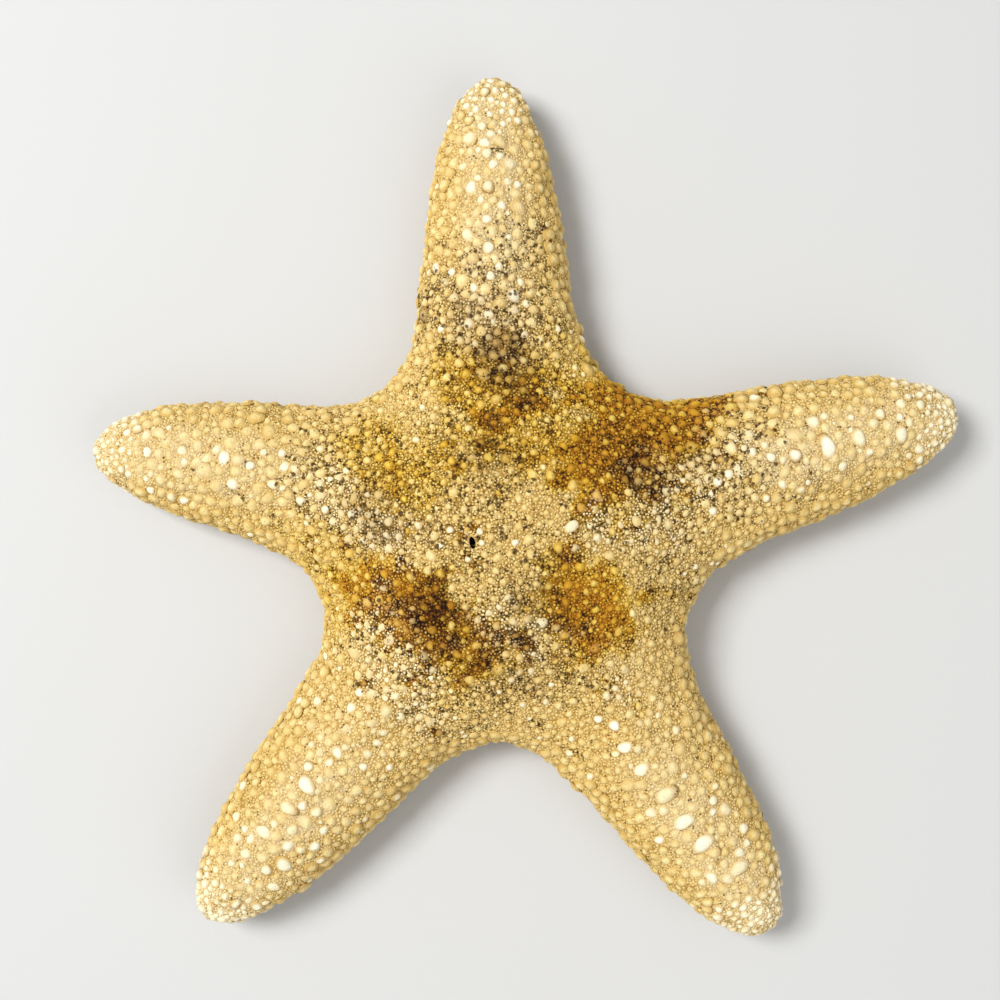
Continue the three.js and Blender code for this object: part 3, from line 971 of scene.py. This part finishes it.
# Colour and bump into the shader
def finish(tree, shader, colour, height, strength, depth):
    tree.links.new(colour, shader.inputs["Base Color"])
    bump = addNode(tree, "Bump", {"Strength": strength, "Distance": depth, "Height": height})
    tree.links.new(bump.outputs[0], shader.inputs["Normal"])


# Skin: fine granules with dark gaps between them, which are painted shade in the crevices, black where
# pepper is thick, browner underneath
def skinMaterial(weathered):
    material, tree, shader, place = newMaterial("driedSkin", 0.9)
    cells = addNode(tree, "TexVoronoi", {
        "Vector": place, "Scale": texture["plates"], "Smoothness": 0.3,
    }, feature="SMOOTH_F1")
    cloud = noise(tree, place, "cloud", 5.0)
    # Painted shade: the gap colour darkens the crevices between the Voronoi cells, and the bed colour fills
    # their tops.
    top = ramp(tree, cells.outputs["Distance"], 0.7, 0.2)
    colour = blend(tree, top, palette["gap"], palette["bed"])
    paleness = times(tree, top, ramp(tree, cloud, 0.4, 0.75))
    colour = blend(tree, paleness, colour, palette["bedPale"])
    grimy = times(tree, layer(tree, "pepper"), ramp(tree, cloud, 0.3, 0.6))
    colour = blend(tree, times(tree, grimy, 0.5), colour, palette["sootTint"], "MULTIPLY")
    colour = addNode(tree, "Group", {
        "Color": colour, "Vector": place, "Cling": 0.0, "Dots": 0.9,
    }, node_tree=weathered).outputs[0]
    under = blend(tree, cloud, palette["furrow"], palette["belly"])
    colour = blend(tree, layer(tree, "belly"), colour, under)
    # Painted shade: the pore's pit and its wall go near black.
    colour = blend(tree, times(tree, layer(tree, "pitShade"), 2.0, True), colour, palette["pit"])
    finish(tree, shader, colour, times(tree, cells.outputs["Distance"], -1.0), 0.8, 0.0003)
    return material


# Granules: darker at the foot, which is painted shade where each granule meets the skin, and paler to the
# crown, which is partly real wear and partly painted highlight, each with its own tone, some nearly white.
# Cling keeps the weathering low on them, and Dots is their share of pinpricks.
def granuleMaterial(name, weathered, colours, cling, dots, depth):
    material, tree, shader, place = newMaterial(name, 0.78)
    foot, body, pale = (palette[n] for n in colours)
    crown, tone, white = (layer(tree, n) for n in ("crown", "tone", "white"))
    mottle = noise(tree, place, "mottle", 4.0)
    summit = blend(tree, calc(tree, "POWER", tone, 2.0), body, pale)
    summit = blend(tree, times(tree, ramp(tree, mottle, 0.42, 0.7), 0.55), summit, foot)
    summit = blend(tree, white, summit, palette["white"])
    # Painted shade and highlight: the foot colour stands in for shade at each granule's base, and the crown
    # takes the paler summit colour.
    colour = blend(tree, ramp(tree, crown, 0.0, 0.9), foot, summit)
    colour = addNode(tree, "Group", {
        "Color": colour, "Vector": place, "Cling": cling, "Dots": dots,
    }, node_tree=weathered).outputs[0]
    finish(tree, shader, colour, mottle, 0.8, depth)
    return material


# Spines: brown at the foot, then bone, each with its own share of white
def spineMaterial():
    material, tree, shader, place = newMaterial("spines", 0.7)
    grainy = noise(tree, place, "mottle", 3.0)
    colour = blend(tree, ramp(tree, layer(tree, "crown"), 0.0, 0.5), palette["furrow"], palette["spine"])
    colour = blend(tree, times(tree, layer(tree, "tone"), 0.5), colour, palette["white"])
    colour = blend(tree, times(tree, ramp(tree, grainy, 0.5, 0.8), 0.4), colour, palette["furrow"])
    finish(tree, shader, colour, grainy, 0.4, 0.0001)
    return material


weathered = weatheredGroup(pinprickGroup())
driedSkin = skinMaterial(weathered)
warts = granuleMaterial("warts", weathered, ("wartFootShade", "wart", "wartPale"), 0.75, 0.12, 0.0004)
grit = granuleMaterial("grit", weathered, ("grainFootShade", "grain", "grainPale"), 0.3, 0.7, 0.0002)
spines = spineMaterial()
print("materials made")


# One material on several pieces, which all ride on the body
def dress(pieces, material):
    for piece in pieces:
        piece.data.materials.append(material)
        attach(piece, "root")


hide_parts("starfish")
dress([skinPiece, porePiece], driedSkin)
dress([bossPiece, collarPiece, *knobPieces], warts)
dress([*grainPieces, bellyPiece], grit)
dress(spinePieces, spines)

# Studio: pale floor, one broad key from the upper left, a weak fill, and a camera looking straight down
studio = {
    "pictureShare": 0.861,  # of the picture's width that the star spans
    "right": 0.0245, "down": 0.0065,  # the star's middle from the picture's middle, as shares of its width
    "lens": 50, "sensor": 36, "floor": (0.6, 0.6, 0.59, 1), "world": 0.42,
    "key": {"from": (-0.7, 0.3, 1.05), "size": 0.5, "power": 16.9},
    "fill": {"from": (0.45, -0.4, 0.5), "size": 0.8, "power": 1.8},
}


# Floor, the two lamps aimed at the origin, and an even white world
def makeStudio():
    bpy.ops.mesh.primitive_plane_add(size=4)
    floor = bpy.context.object
    floor.name = "floor"
    paint = bpy.data.materials.new("floorPaint")
    paint.use_nodes = True
    given = paint.node_tree.nodes["Principled BSDF"].inputs
    given["Base Color"].default_value = studio["floor"]
    given["Roughness"].default_value = 0.9
    floor.data.materials.append(paint)
    for name in ("key", "fill"):
        spec = studio[name]
        lamp = bpy.data.lights.new(name, "AREA")
        lamp.energy, lamp.size = spec["power"], spec["size"]
        holder = bpy.data.objects.new(name, lamp)
        bpy.context.scene.collection.objects.link(holder)
        holder.location = spec["from"]
        holder.rotation_euler = (-Vector(spec["from"])).to_track_quat("-Z", "Y").to_euler()
    world = bpy.data.worlds.new("studio")
    world.use_nodes = True
    given = world.node_tree.nodes["Background"].inputs
    given["Color"].default_value = (1, 1, 1, 1)
    given["Strength"].default_value = studio["world"]
    bpy.context.scene.world = world


# Camera over the star, as high as puts the wanted span across the picture at the equator's height
def makeCamera():
    span = (bodyHigh.x - bodyLow.x) / studio["pictureShare"]
    data = bpy.data.cameras.new("camera")
    data.lens, data.sensor_width = studio["lens"], studio["sensor"]
    camera = bpy.data.objects.new("camera", data)
    bpy.context.scene.collection.objects.link(camera)
    away = span / 2 / (studio["sensor"] / 2 / studio["lens"])
    middle = (bodyLow + bodyHigh) / 2
    camera.location = (
        middle.x - studio["right"] * span, middle.y + studio["down"] * span, section["equator"] * mm + away,
    )
    bpy.context.scene.camera = camera
    bpy.context.scene.view_settings.view_transform = "Standard"


makeStudio()
makeCamera()
print("studio ready")
